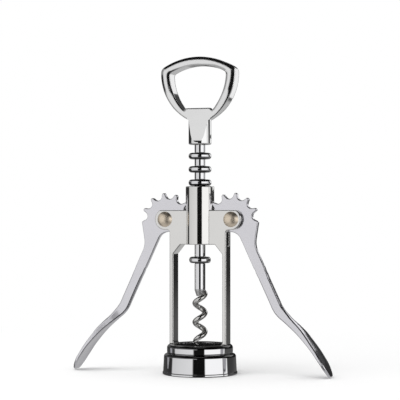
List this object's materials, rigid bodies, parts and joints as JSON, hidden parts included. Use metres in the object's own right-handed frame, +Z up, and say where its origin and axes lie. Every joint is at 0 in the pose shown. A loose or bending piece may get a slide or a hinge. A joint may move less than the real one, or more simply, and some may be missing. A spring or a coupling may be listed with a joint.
{
  "type": "wing corkscrew",
  "caption": "Wing corkscrew: geared wings raise a ringed rack, a free-turning worm under a finger ring with a cap lifter, and a bell that centres the bottle neck.",
  "frame": {"origin": "centre of the bell's rim, on the table it stands on", "axes": "+Z up along the worm, X across the two wings, -Y the front with the rivet heads"},
  "size_m": [0.1448, 0.0404, 0.1708],
  "materials": {
    "frame_chrome": "chrome plate over a zinc casting, lightly softened by polishing",
    "bell_chrome": "bright polished chrome plate",
    "wing_satin_chrome": "satin chrome plate with a faint grain",
    "rivet_nickel": "warm nickel plate over a turned steel rivet",
    "rack_chrome": "bright polished chrome plate on turned rings",
    "worm_steel": "drawn steel wire, bent cold, nickel flashed",
    "collar_satin": "turned and left satin",
    "handle_chrome": "chrome plate over a zinc casting",
    "pin_steel": "ground steel",
    "liner_plastic": "moulded nylon, fine grain"
  },
  "bodies": {
    "frame": {"frame": "frame_chrome", "bell": "bell_chrome", "bell_liner": "liner_plastic", "left_rivet": "rivet_nickel", "right_rivet": "rivet_nickel"},
    "rack": {"rack_sleeve": "rack_chrome"},
    "spindle": {"worm": "worm_steel", "worm_holder": "rack_chrome", "worm_collar": "collar_satin", "opener_handle": "handle_chrome", "handle_pin": "pin_steel"},
    "left_wing": {"left_wing": "wing_satin_chrome"},
    "right_wing": {"right_wing": "wing_satin_chrome"}
  },
  "joints": [
    {"name": "rack_slide", "type": "slide", "parent": "frame", "child": "rack", "axis": [0, 0, 1], "range_m": [-0.0215, 0.0055]},
    {"name": "spindle_spin", "type": "hinge", "parent": "rack", "child": "spindle", "pos_m": [0, 0, 0.1], "axis": [0, 0, 1], "continuous": true},
    {"name": "left_wing_hinge", "type": "hinge", "parent": "frame", "child": "left_wing", "pos_m": [-0.01855, 0, 0.0832], "axis": [0, 1, 0], "range_deg": [-23.5, 90.5]},
    {"name": "right_wing_hinge", "type": "hinge", "parent": "frame", "child": "right_wing", "pos_m": [0.01855, 0, 0.0832], "axis": [0, 1, 0], "range_deg": [-90.5, 23.5]}
  ],
  "couplings": [
    {"joint": "left_wing_hinge", "follows": "rack_slide", "rad_per_m": -72.72},
    {"joint": "right_wing_hinge", "follows": "rack_slide", "rad_per_m": 72.72}
  ]
}
